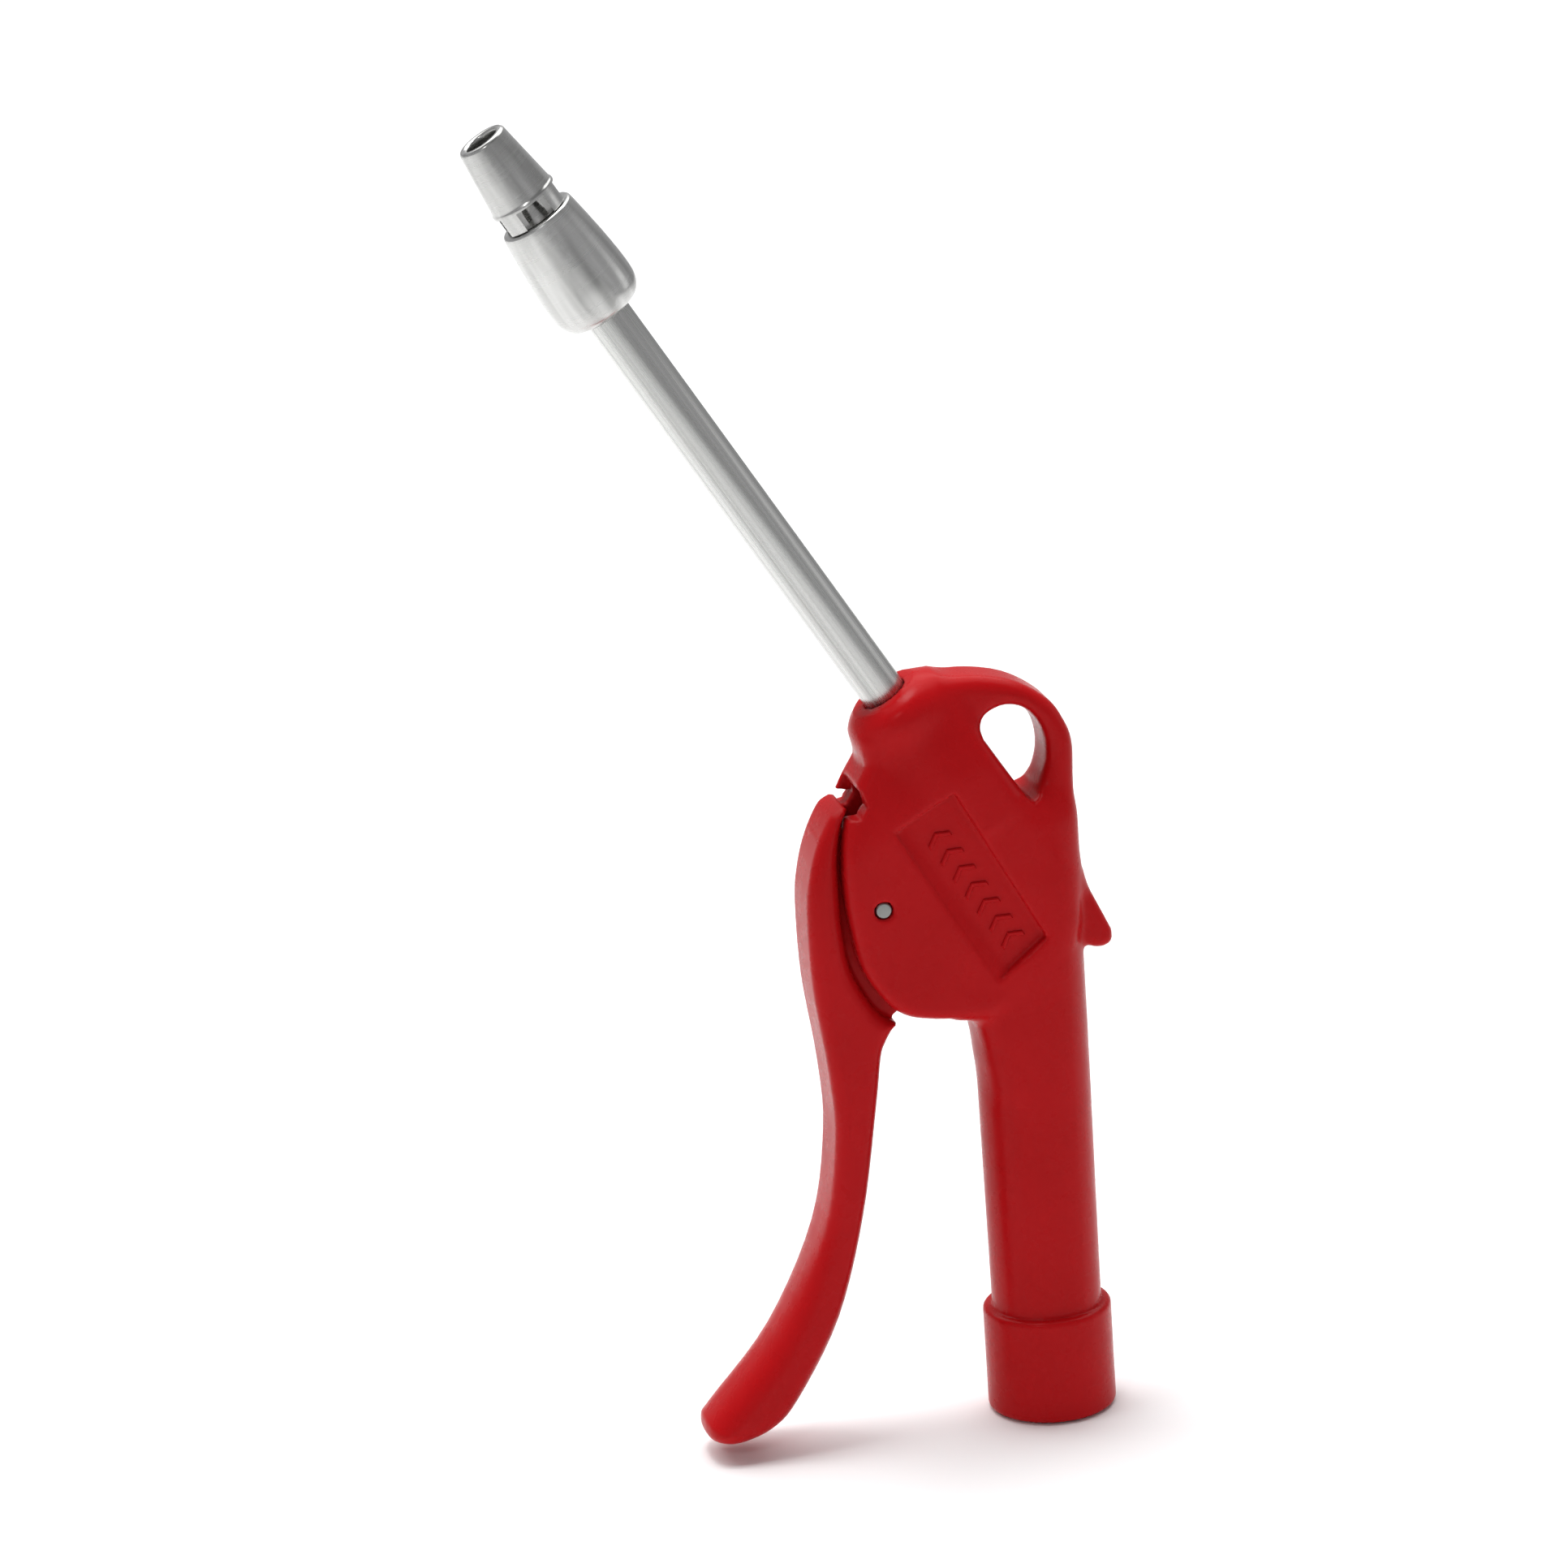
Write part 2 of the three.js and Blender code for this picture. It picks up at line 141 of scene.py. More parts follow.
def metric(place):
    """A place written in millimetres, for a mesh that is already in metres."""
    return IN_METRES @ place @ IN_METRES.inverted()


# %% [markdown]
# ## Camera, floor and light
#
# The camera stands a little to the lever's side and above, and rolls a few degrees, with a
# long lens that keeps the tube straight. The floor is a plain pale sheet. One large light hangs
# above and behind, and keeps the sheet white. A smaller one above the gun lights whatever faces
# up. A small lamp at the front left draws the glints on the nylon, and a panel at the right
# draws a bright line down the tube.

# %% Camera
def aim_camera(azimuth, elevation, roll, distance, target, lens):
    a, e, r = (math.radians(v) for v in (azimuth, elevation, roll))
    back = Vector((math.sin(a) * math.cos(e), -math.cos(a) * math.cos(e), math.sin(e)))
    level = Vector((math.cos(a), math.sin(a), 0))
    upward = back.cross(level)
    right = math.cos(r) * level - math.sin(r) * upward
    up = math.cos(r) * upward + math.sin(r) * level
    camera = bpy.data.objects.new("camera", bpy.data.cameras.new("camera"))
    camera.data.sensor_width = 36
    camera.data.lens = lens
    camera.data.clip_end = 20
    place = Matrix((right, up, back)).transposed().to_4x4()
    place.translation = target + back * distance
    camera.matrix_world = place
    bpy.context.scene.collection.objects.link(camera)
    bpy.context.scene.camera = camera
    print(f"camera: {lens} mm lens, {distance} m away")


aim_camera(azimuth=-12, elevation=17, roll=4, distance=1.1,
           target=Vector((-0.0404, 0.0067, 0.1209)), lens=143.5)

# %% Floor and lights
scene = bpy.context.scene
scene.view_settings.view_transform = "Standard"


def floor_sheet(half):
    mesh = bpy.data.meshes.new("floor")
    mesh.from_pydata([(-half, -half, 0), (half, -half, 0), (half, half, 0), (-half, half, 0)],
                     [], [(0, 1, 2, 3)])
    floor = bpy.data.objects.new("floor", mesh)
    floor.location.z = cad_low.z - 0.3 * MM
    scene.collection.objects.link(floor)
    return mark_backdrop(floor) or floor


def soft_light(name, place, size, watts, target=(-0.03, 0, 0.12)):
    data = bpy.data.lights.new(name, "AREA")
    data.shape = "RECTANGLE"
    data.size, data.size_y = size
    data.energy = watts
    light = bpy.data.objects.new(name, data)
    light.location = place
    light.rotation_euler = (Vector(place) - Vector(target)).to_track_quat("Z", "Y").to_euler()
    scene.collection.objects.link(light)
    print(f"{name} light: {watts} W")


floor = floor_sheet(6)
soft_light("overhead", (0, 1.0, 1.7), (3.2, 2.4), 52, target=(0, 0.9, 0))
soft_light("near", (-0.15, 0.1, 1.1), (0.4, 0.3), 4.8, target=(0, 0, 0))
soft_light("front", (-0.7, -1.1, 1.0), (0.16, 0.16), 1.7)
soft_light("right", (1.5, -0.1, 0.45), (0.5, 0.6), 0.6)

# %% [markdown]
# ## Node helper and colours
#
# Colours are written as the hex values that a paint chart gives. Shaders work in linear
# light, so one function turns a hex value to linear. One helper adds a node, sets its
# properties, and fills or links its inputs. It serves shader trees and geometry trees alike.

# %% Colour and node helpers
def linear(hex_colour):
    """Linear RGBA of an sRGB hex value such as 'B3191D'."""
    parts = [int(hex_colour[i:i + 2], 16) / 255 for i in (0, 2, 4)]
    return (*(p / 12.92 if p <= 0.04045 else ((p + 0.055) / 1.055) ** 2.4 for p in parts), 1)


def add(tree, kind, inputs=None, **settings):
    """Adds a node with its settings; an input's value is a number, a colour or a socket."""
    made = tree.nodes.new(kind)
    for name, value in settings.items():
        setattr(made, name, value)
    for name, value in (inputs or {}).items():
        if isinstance(value, bpy.types.NodeSocket):
            tree.links.new(value, made.inputs[name])
        else:
            made.inputs[name].default_value = value
    return made


def two_tone(tree, factor, dark, light, low=0.0, high=1.0):
    """A ramp between two hex colours, over a stretch of the factor."""
    ramp = add(tree, "ShaderNodeValToRGB", {"Fac": factor})
    for stop, place, colour in zip(ramp.color_ramp.elements, (low, high), (dark, light)):
        stop.position = place
        stop.color = linear(colour)
    return ramp.outputs["Color"]


def new_material(name):
    """An empty node material: its tree, its shader and its object coordinates."""
    material = bpy.data.materials.new(name)
    material.use_nodes = True
    tree = material.node_tree
    tree.nodes.clear()
    shader = add(tree, "ShaderNodeBsdfPrincipled")
    add(tree, "ShaderNodeOutputMaterial", {"Surface": shader.outputs["BSDF"]})
    where = add(tree, "ShaderNodeTexCoord").outputs["Object"]
    return material, tree, shader, where


# %% [markdown]
# ## Finishes
#
# **Moulded nylon.** The handle and lever are glass-filled nylon, coloured in the mass and
# shot into a lightly textured steel mould. That gives a deep even red, a soft semi-gloss, a
# very fine grain, and glass fibres that make the gloss a little patchy. Nylon's refractive
# index is 1.53. The grain's pits scatter most of the mirror light, so the specular level is
# low. The grain is about 0.3 mm, drawn at 1.2 mm so that it shows.

# %% Moulded red nylon
def moulded_nylon():
    material, tree, shader, where = new_material("moulded_red_glass_filled_nylon")
    flow = add(tree, "ShaderNodeTexNoise", {
        "Vector": where, "Scale": 1 / (18 * MM), "Detail": 3, "Roughness": 0.5})
    tint = two_tone(tree, flow.outputs["Fac"], "AC0E12", "B41116", 0.3, 0.7)
    patch = add(tree, "ShaderNodeTexNoise", {
        "Vector": where, "Scale": 1 / (4 * MM), "Detail": 4})
    gloss = add(tree, "ShaderNodeMapRange", {
        "Value": patch.outputs["Fac"], "From Min": 0.3, "From Max": 0.7,
        "To Min": 0.24, "To Max": 0.32})
    grain = add(tree, "ShaderNodeTexNoise", {
        "Vector": where, "Scale": 1 / (1.2 * MM), "Detail": 0})
    bump = add(tree, "ShaderNodeBump", {
        "Height": grain.outputs["Fac"], "Strength": 0.04, "Distance": 0.02 * MM})
    shader.inputs["IOR"].default_value = 1.53
    shader.inputs["Specular IOR Level"].default_value = 0.07
    tree.links.new(tint, shader.inputs["Base Color"])
    tree.links.new(gloss.outputs["Result"], shader.inputs["Roughness"])
    tree.links.new(bump.outputs["Normal"], shader.inputs["Normal"])
    return material


nylon = moulded_nylon()
print("nylon:", len(nylon.node_tree.nodes), "nodes")

# %% [markdown]
# **Metals.** All of them are cut or drawn, then left bright, so each carries fine marks in one
# direction: rings on turned pieces, lines along drawn tube and wire. One function makes such a
# metal. The marks are noise squeezed along the piece's own axis, which a Mapping node lays
# along the nozzle or the valve. Real tool marks are about 0.05 mm apart. They are drawn at
# 0.25 mm or more, the finest that shows. A second noise tints the metal: in faint long streaks
# on the plated tube and tip, in soft clouds on the rest. Metals keep the default refractive
# index.

# %% Worked metals
def worked_metal(name, light, dark, rough, tilt, marks, depth, streaks=(6, 6)):
    """marks and streaks are sizes across and along the axis, in millimetres."""
    material, tree, shader, where = new_material(name)
    turned = add(tree, "ShaderNodeMapping", {"Vector": where, "Rotation": (0, tilt, 0)})

    def squeezed(size):
        wide, long = (1 / (length * MM) for length in size)
        return add(tree, "ShaderNodeMapping", {
            "Vector": turned.outputs["Vector"], "Scale": (wide, wide, long)}).outputs["Vector"]

    lines = add(tree, "ShaderNodeTexNoise", {
        "Vector": squeezed(marks), "Scale": 1, "Detail": 3, "Roughness": 0.6})
    cloud = add(tree, "ShaderNodeTexNoise", {
        "Vector": squeezed(streaks), "Scale": 1, "Detail": 2})
    tint = two_tone(tree, cloud.outputs["Fac"], dark, light, 0.3, 0.7)
    gloss = add(tree, "ShaderNodeMapRange", {
        "Value": lines.outputs["Fac"], "From Min": 0.3, "From Max": 0.7,
        "To Min": rough * 0.85, "To Max": rough * 1.15})
    bump = add(tree, "ShaderNodeBump", {
        "Height": lines.outputs["Fac"], "Strength": depth, "Distance": 0.01 * MM})
    shader.inputs["Metallic"].default_value = 1
    tree.links.new(tint, shader.inputs["Base Color"])
    tree.links.new(gloss.outputs["Result"], shader.inputs["Roughness"])
    tree.links.new(bump.outputs["Normal"], shader.inputs["Normal"])
    return material


nickel_tube = worked_metal("drawn_nickel_plated_tube", "D0D0CE", "9C9C9A", 0.27, TILT,
                           (0.25, 60), 0.06, streaks=(1.3, 400))
nickel_tip = worked_metal("turned_nickel_plate", "D2D2D0", "AAAAA8", 0.26, TILT,
                          (40, 0.8), 0.02, streaks=(2.6, 60))


def turned_brass(name, tilt):
    return worked_metal(name, "C7A35C", "B08C48", 0.25, tilt, (40, 0.25), 0.3)


ALONG_VALVE = TILT - math.pi / 2
brass_head = turned_brass("turned_brass_in_the_head", TILT)
brass_valve = turned_brass("turned_brass_in_the_valve", ALONG_VALVE)
brass_inlet = turned_brass("turned_brass_upright", 0)
steel_valve = worked_metal("ground_stainless_steel", "A9A9A6", "9A9A98", 0.22, ALONG_VALVE,
                           (40, 0.25), 0.2)
spring_wire = worked_metal("drawn_spring_wire", "9A9A98", "8A8A88", 0.28, ALONG_VALVE,
                           (0.4, 0.4), 0.2)
metals = (nickel_tube, nickel_tip, brass_head, brass_valve, brass_inlet, steel_valve, spring_wire)
print("metals:", [metal.name for metal in metals])

# %% [markdown]
# **Steel pin and rubber.** The lever pin is ground steel rod with a matt sheared end, seen as
# a grey disc on the cheek. The seals are nitrile rubber: black, faintly grey where it is
# dusty with release powder, and softly rough.

# %% Pin steel and nitrile rubber
pin_steel = worked_metal("ground_steel_pin", "8F908E", "7F807E", 0.38, 0, (0.3, 0.3), 0.4)


def nitrile_rubber():
    material, tree, shader, where = new_material("moulded_nitrile_rubber")
    dust = add(tree, "ShaderNodeTexNoise", {
        "Vector": where, "Scale": 1 / (1.5 * MM), "Detail": 4})
    tint = two_tone(tree, dust.outputs["Fac"], "141414", "2B2B2C")
    bump = add(tree, "ShaderNodeBump", {
        "Height": dust.outputs["Fac"], "Strength": 0.3, "Distance": 0.02 * MM})
    shader.inputs["Roughness"].default_value = 0.6
    shader.inputs["IOR"].default_value = 1.52
    tree.links.new(tint, shader.inputs["Base Color"])
    tree.links.new(bump.outputs["Normal"], shader.inputs["Normal"])
    return material


rubber = nitrile_rubber()
print("rubber:", len(rubber.node_tree.nodes), "nodes")

# %% [markdown]
# **Sheet and room.** The floor is matt pale card with a faint unevenness in its tone.
# Plated metal shows whatever surrounds it, so the room is a soft grey dome, brighter at the
# horizon than overhead. That gives the tube its light and dark bands.

# %% Pale sheet and soft room
def pale_sheet():
    material, tree, shader, where = new_material("matt_pale_sheet")
    fibre = add(tree, "ShaderNodeTexNoise", {
        "Vector": where, "Scale": 1 / (60 * MM), "Detail": 2})
    tint = two_tone(tree, fibre.outputs["Fac"], "F8F8F8", "FAFAFA")
    shader.inputs["Roughness"].default_value = 0.9
    shader.inputs["Specular IOR Level"].default_value = 0.07
    tree.links.new(tint, shader.inputs["Base Color"])
    return material


floor.data.materials.append(pale_sheet())

world = bpy.data.worlds.new("soft_grey_room")
world.use_nodes = True
sky = world.node_tree
height = add(sky, "ShaderNodeSeparateXYZ", {
    0: add(sky, "ShaderNodeTexCoord").outputs["Generated"]})
walls = add(sky, "ShaderNodeMapRange", {
    "Value": height.outputs["Z"], "From Min": 0.3, "From Max": 0.7, "To Min": 0.5,
    "To Max": 0.2})
sky.nodes["Background"].inputs["Color"].default_value = linear("F4F4F6")
sky.links.new(walls.outputs["Result"], sky.nodes["Background"].inputs["Strength"])
scene.world = world
print("world:", world.name)

# %% [markdown]
# ## Drawing with distances
#
# A moulding has no hard edges: every corner and every joint between two forms is a fillet.
# It could be modelled with subdivision surfaces, but a slot, an eye and a recess that all
# meet would pinch. Here each form is a distance instead: a function that says how far a
# point is from its surface, negative inside. Distances join with a chosen fillet, cut with
# a chosen edge radius, and the zero level is meshed once at the end.

# %% Distance helpers
def outline_distance(outline, x, z):
    """Signed distance to a closed outline, a list of corners in order."""
    x, z = np.broadcast_arrays(x, z)
    nearest = np.full(x.shape, np.inf)
    inside = np.zeros(x.shape, bool)
    for (ax, az), (bx, bz) in zip(outline, outline[1:] + outline[:1]):
        ex, ez = bx - ax, bz - az
        px, pz = x - ax, z - az
        along = np.clip((px * ex + pz * ez) / (ex * ex + ez * ez), 0, 1)
        nearest = np.minimum(nearest, (px - along * ex) ** 2 + (pz - along * ez) ** 2)
        if az != bz:
            inside ^= ((az > z) != (bz > z)) & (px < ex * pz / ez)
    return np.where(inside, -1, 1) * np.sqrt(nearest)


def rounded(first, second, radius):
    """The common part of two forms, with its outer edge rounded."""
    a, b = first + radius, second + radius
    outside = np.hypot(np.maximum(a, 0), np.maximum(b, 0))
    return np.minimum(np.maximum(a, b), 0) + outside - radius


def melt(first, second, fillet):
    """Two forms joined with a fillet."""
    h = np.clip(0.5 + 0.5 * (second - first) / fillet, 0, 1)
    return second + (first - second) * h - fillet * h * (1 - h)


def carve(form, tool, edge):
    """A form less a tool, with a soft edge."""
    return -melt(-form, tool, edge)


def ease(value, low, high):
    """A smooth step from 0 at low to 1 at high."""
    t = np.clip((value - low) / (high - low), 0, 1)
    return t * t * (3 - 2 * t)


def curve_through(points, steps=6):
    """A smooth run of corners through the given points."""
    p = np.array(points, float)
    ends = np.vstack([2 * p[0] - p[1], p, 2 * p[-1] - p[-2]])
    t = np.linspace(0, 1, steps, endpoint=False)[:, None]
    runs = [0.5 * (2 * b + (c - a) * t + (2 * a - 5 * b + 4 * c - d) * t ** 2
                   + (3 * b - a - 3 * c + d) * t ** 3)
            for a, b, c, d in zip(ends, ends[1:], ends[2:], ends[3:])]
    return [tuple(q) for q in np.vstack([*runs, p[-1:]])]


# %% [markdown]
# ## From distance to mesh
#
# OpenVDB, which comes with Blender, turns a grid of distances into even quads. Its corners
# lie a little off the true surface, so each one is then moved along the slope of the
# distance until it reads zero. That takes two steps, and it makes the shading smooth.

# %% Skinning a distance
def slope(distance, points, step=0.02):
    """The distance at each point, and how fast it rises along X, Y and Z."""
    base = distance(*points.T)
    rises = [distance(*(points + step * axis).T) - base for axis in np.eye(3)]
    return base, np.stack(rises, axis=1) / step


def finished(name, mesh, material, body):
    """Names a mesh as a piece that rides on a body."""
    mesh.name = name
    mesh.materials.clear()
    mesh.materials.append(material)
    mesh.polygons.foreach_set("use_smooth", np.ones(len(mesh.polygons), bool))
    piece = bpy.data.objects.new(name, mesh)
    scene.collection.objects.link(piece)
    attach(piece, body)
    return piece


def skin(name, distance, low, high, pitch, material, body):
    """Meshes the zero level of a distance as a piece, with faces about a pitch across."""
    lines = [np.arange(a - 2 * pitch, b + 3 * pitch, pitch) for a, b in zip(low, high)]
    x, y, z = np.meshgrid(*lines, indexing="ij", sparse=True)
    grid = vdb.FloatGrid(3 * pitch)
    grid.copyFromArray(np.clip(distance(x, y, z), -3 * pitch, 3 * pitch).astype(np.float32))
    corners, quads = grid.convertToQuads(0.0)
    points = corners * pitch + np.array([line[0] for line in lines])
    for _ in range(2):
        value, rise = slope(distance, points)
        steep = np.maximum((rise ** 2).sum(1), 0.25)
        shift = (np.clip(value, -pitch, pitch) / steep)[:, None] * rise
        points = points - shift
    a, b, c, d = (points[quads[:, k]] for k in range(4))
    volume = np.einsum("ij,ij->i", a, np.cross(b, c)).sum()
    volume += np.einsum("ij,ij->i", a, np.cross(c, d)).sum()
    if volume < 0:
        quads = quads[:, ::-1]
    mesh = bpy.data.meshes.new(name)
    mesh.from_pydata((points * MM).tolist(), [], quads.tolist())
    mesh.validate()
    print(f"{name}: {len(quads)} quads, {abs(volume) / 6000:.1f} cm3")
    return finished(name, mesh, material, body)


# %% [markdown]
# ## The body
#
# One moulding holds the whole gun. Its handle is a round column with a collar at the foot.
# Higher up the column is flattened to the thickness of the two cheeks, which house the valve.
# The nose is a short flared boss round the nozzle, and a thinner arch behind it makes the
# hanging eye. A hook-shaped spur on the back keeps the hand from slipping.

# %% Body measures
HANDLE_R = 10.3
COLLAR_TOP = 19.5
SHOULDER_Z = 116.0
CHEEK_HALF = 9.0
ARCH_HALF = 5.75
CROTCH_HALF = 7.5
SPUR_HALF = 4.8
SLOT_HALF = 3.2
PANEL_DEPTH = 1.2
POCKET_HALF = 7.8
POCKET_STEP_Z = 119.0                 # the far wall stands again above this height
POCKET_BACK = 4.5
TUBE_HOLE_START = 42.0                # distances along the nozzle axis
SOCKET_START, SOCKET_END, SOCKET_HOLE_R = 29.0, 43.0, 6.3
VALVE_BORE_R, VALVE_BORE_START, VALVE_BORE_END = 4.7, -16.0, 31.7
CLIP_GROOVE_R, CLIP_GROOVE_START, CLIP_GROOVE_END = 5.1, 3.9, 4.9
OUTLET_X, OUTLET_LOW, OUTLET_HIGH, OUTLET_R = -12.1, 97.5, 124.3, 2.2
OUTLET_ACROSS = (0.995, 0.105)        # square to the outlet, which leans six degrees
INLET_BORE_R, INLET_DEPTH = 7.9, 18.3
FEED_R, FEED_TOP = 5.5, 84.0
RISER_X, RISER_R = 2.0, 3.5

cheek_outline = curve_through(
    [(-28.2, 125.6), (-30.6, 121.4), (-32.5, 116.8), (-33.5, 111), (-33.7, 104), (-33, 97),
     (-31.4, 89.2), (-27.8, 82.9), (-24.3, 79.9), (-19.9, 78.6), (-14, 77.8)]) + curve_through(
    [(-9, 78), (-2, 81.6), (5, 86), (8.4, 91), (9, 97), (8.9, 108), (8.4, 112.4),
     (6.4, 115.6), (3.6, 117.4)]) + [across(17, 9), across(38, 9), across(41, 6),
                                   across(41, -8.2)]
crotch_outline = curve_through([(-15, 77.8), (-11.4, 76), (-9.9, 72.5), (-9, 68)]) + [
    (-7, 62), (-2, 60), (-2, 82), (-15, 84)]
arch_outline = curve_through(
    [(9.5, 119), (9.6, 125), (8.4, 129), (5.7, 133.2), (0.1, 137.1), (-6.5, 139),
     (-14, 139.5)]) + [(-26, 128), (-14, 98), (9, 98)]
eye_outline = [(0.2, 116.7), (1.2, 115.8), (2.4, 116.6)] + curve_through(
    [(2.8, 117.3), (4.5, 123), (3.9, 128.2), (1.3, 131.9), (-2.1, 133.1), (-5.3, 132.2),
     (-7.1, 130.2), (-6.9, 128.2)])
spur_outline = [(6, 102), (9.9, 100.6), (13.9, 91.8)] + curve_through(
    [(15, 89.3), (14.9, 87.4), (13.5, 86.4), (11.5, 86.5), (9, 87.7)], 4) + [(6, 87)]
slot_outline = [(-45, 120.5), (-45, 74), (-20, 74), (-18.5, 84), (-18.5, 106), (-22, 112),
                (-27, 120.5)]
pocket_outline = [(-45, 122), (-45, 116.8), (-30.2, 116.8), (-28.8, 118.8), (-29.4, 121.6),
                  (-30, 122)]
panel_outline = [(-24.5, 114.1), (-7.7, 84.3), (1.6, 91.5), (-13.5, 120)]

# %% Body forms
def column(x, y, z):
    """The handle, its collar, and the flattened part above, with a rounded shoulder."""
    r = np.hypot(x, y)
    # The handle narrows a little towards the collar, and again under the eye.
    draft = 0.1 + 0.3 * ease(-z, -80, -15) + 1.0 * ease(z, 100.5, 106)
    handle = rounded(r - HANDLE_R + draft, z - SHOULDER_Z, 5.0)
    half = CHEEK_HALF + 1.6 * ease(-z, -98, -84)
    handle = rounded(handle, np.abs(y) - half, 2.2)
    collar = rounded(r - COLLAR_R, np.maximum(z - COLLAR_TOP, -z), 0.9)
    return np.minimum(collar, np.maximum(handle, 2 - z))


def nose(x, y, z):
    """The boss round the nozzle, with its flared lip."""
    along, side = in_head(x, z)
    profile = [(-30, 16), (8.3, 16), (8.1, 32), (8.0, 35)] + curve_through(
        [(8.2, 36.6), (8.9, 38.8), (9.1, 40.8), (8.3, 43), (6.4, 44.5)], 4) + [(-30, 44.9)]
    return outline_distance(profile, np.hypot(side, y), along)


def housing(x, y, z):
    """Cheeks, arch, nose, crotch and spur on the column."""
    hole = outline_distance(eye_outline, x, z)
    along, _ = in_head(x, z)
    # The cheeks grow thinner towards the nose and towards the eye.
    half = CHEEK_HALF - 3.2 * ease(along, 24, 43) - 2 * ease(x + 0.6 * z, 66, 75)
    edge = 2.2 + 2.6 * ease(x, -1, 5)
    cheeks = rounded(outline_distance(cheek_outline, x, z), np.abs(y) - half, edge)
    cheeks = carve(cheeks, hole, 0.8)
    arch = rounded(outline_distance(arch_outline, x, z), np.abs(y) - ARCH_HALF, 2.8)
    arch = carve(arch, hole, 3.0)
    crotch = rounded(outline_distance(crotch_outline, x, z), np.abs(y) - CROTCH_HALF, 3.5)
    spur = rounded(outline_distance(spur_outline, x, z), np.abs(y) - SPUR_HALF, 1.8)
    form = melt(column(x, y, z), cheeks, 1.6)
    form = melt(form, crotch, 3.0)
    form = melt(form, nose(x, y, z), 3.0)
    form = melt(form, arch, 3.0)
    return carve(melt(form, spur, 1.6), hole, 0.6)


# %% [markdown]
# The cuts come next. The slot between the cheeks takes the lever's web. The valve bore is
# drilled from the front, below the pin, and ends blind behind the stem. Under the nose a
# cavity holds the brass socket, and drilled ways lead air from the handle to the valve and
# on to the nozzle. The label panel is a shallow recess that runs out towards the lever. A
# pocket gives the lever's top its room, and above the lever it is open on the near side only.

# %% Body cuts
def rod_distance(x, y, z, centre_x, radius, low, high):
    """A round tool along Z, between two heights."""
    return np.maximum(np.hypot(x - centre_x, y) - radius, np.maximum(low - z, z - high))


def valve_bore(along, side, y):
    """The valve's bore, with the groove for the clip that holds the cartridge."""
    r = np.hypot(along, y)
    s = side - CAM_SIDE
    bore = np.maximum(r - VALVE_BORE_R, np.maximum(VALVE_BORE_START - s, s - VALVE_BORE_END))
    groove = np.maximum(r - CLIP_GROOVE_R,
                        np.maximum(CLIP_GROOVE_START - s, s - CLIP_GROOVE_END))
    return np.minimum(bore, groove)


def panel_recess(x, y, z):
    """A shallow recess in both cheeks that runs out to nothing towards the lever."""
    along, side = in_head(x, z)
    depth = PANEL_DEPTH * ease(side, -15.5, -10.5)
    flat = rounded(outline_distance(panel_outline, x, z), -50, 1.2)
    return rounded(flat, CHEEK_HALF - depth - np.abs(y), 0.3)


def body_distance(x, y, z):
    """The housing less every cut."""
    along, side = in_head(x, z)
    around_nozzle = np.hypot(side, y)
    form = carve(housing(x, y, z), panel_recess(x, y, z), 0.5)
    slot = np.maximum(outline_distance(slot_outline, x, z), np.abs(y) - SLOT_HALF)
    form = carve(form, slot, 0.8)
    width = np.where(z > POCKET_STEP_Z, y - POCKET_BACK, np.abs(y) - POCKET_HALF)
    pocket = np.maximum(outline_distance(pocket_outline, x, z), width)
    form = carve(form, pocket, 0.4)
    form = carve(form, valve_bore(along, side, y), 0.4)
    tube_hole = np.maximum(around_nozzle - TUBE_R - 0.12, TUBE_HOLE_START - along)
    form = carve(form, tube_hole, 0.3)
    cavity = np.maximum(around_nozzle - SOCKET_HOLE_R,
                        np.maximum(SOCKET_START - along, along - SOCKET_END))
    from_outlet = (x - OUTLET_X) * OUTLET_ACROSS[0] + (z - OUTLET_LOW) * OUTLET_ACROSS[1]
    outlet = np.maximum(np.hypot(from_outlet, y) - OUTLET_R,
                        np.maximum(OUTLET_LOW - z, z - OUTLET_HIGH))
    pin_hole = np.hypot(x - PIN_X, z - PIN_Z) - PIN_HOLE_R
    inlet = rod_distance(x, y, z, 0, INLET_BORE_R, -5, INLET_DEPTH)
    feed = rod_distance(x, y, z, 0, FEED_R, 1, FEED_TOP)
    riser = rod_distance(x, y, z, RISER_X, RISER_R, FEED_TOP - 2, HEAD_Z)
    for tool in (cavity, outlet, pin_hole, feed, riser):
        form = np.maximum(form, -tool)
    return carve(form, inlet, 0.5)


# %% Body mesh
body_low, body_high = size_of("body")
body_piece = skin("body_moulding", body_distance, body_low, body_high, 0.6, nylon, "gun_body")
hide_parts("body")

# %% [markdown]
# ## The lever
#
# The lever is a second nylon moulding: a broad S-shaped grip in front of the cheeks, and a
# narrow web behind it that runs between them to the pin and to the cam that pushes the
# valve stem. It is drawn the same way, and its tip is rounded more than its sides.

# %% Lever outline and form
lever_outline = curve_through(
    [(-33, 118.6), (-35.2, 117.1), (-37.8, 112.2), (-39.6, 106.2), (-40.4, 99.5),
     (-40.2, 86), (-38.4, 70.2), (-38.1, 57), (-41.4, 39.7), (-50.7, 21.5), (-62.3, 8.3),
     (-64.1, 5.9), (-63.4, 3.8), (-59.5, 2.9), (-53.2, 4.8), (-48, 9.8), (-39.6, 24.2),
     (-33.9, 42.8), (-30.2, 63), (-28.8, 72), (-27.8, 74.7), (-26.5, 76.8),
     (-25.4, 77.7)], 5) + curve_through(
    [(-26.3, 78.4), (-28.1, 79.6), (-30.1, 82.2), (-33.4, 89.4), (-34.4, 98.5), (-34.4, 105),
     (-34.2, 110.5), (-33.3, 115.5), (-32.3, 117.7), (-31.8, 118.4)], 4)
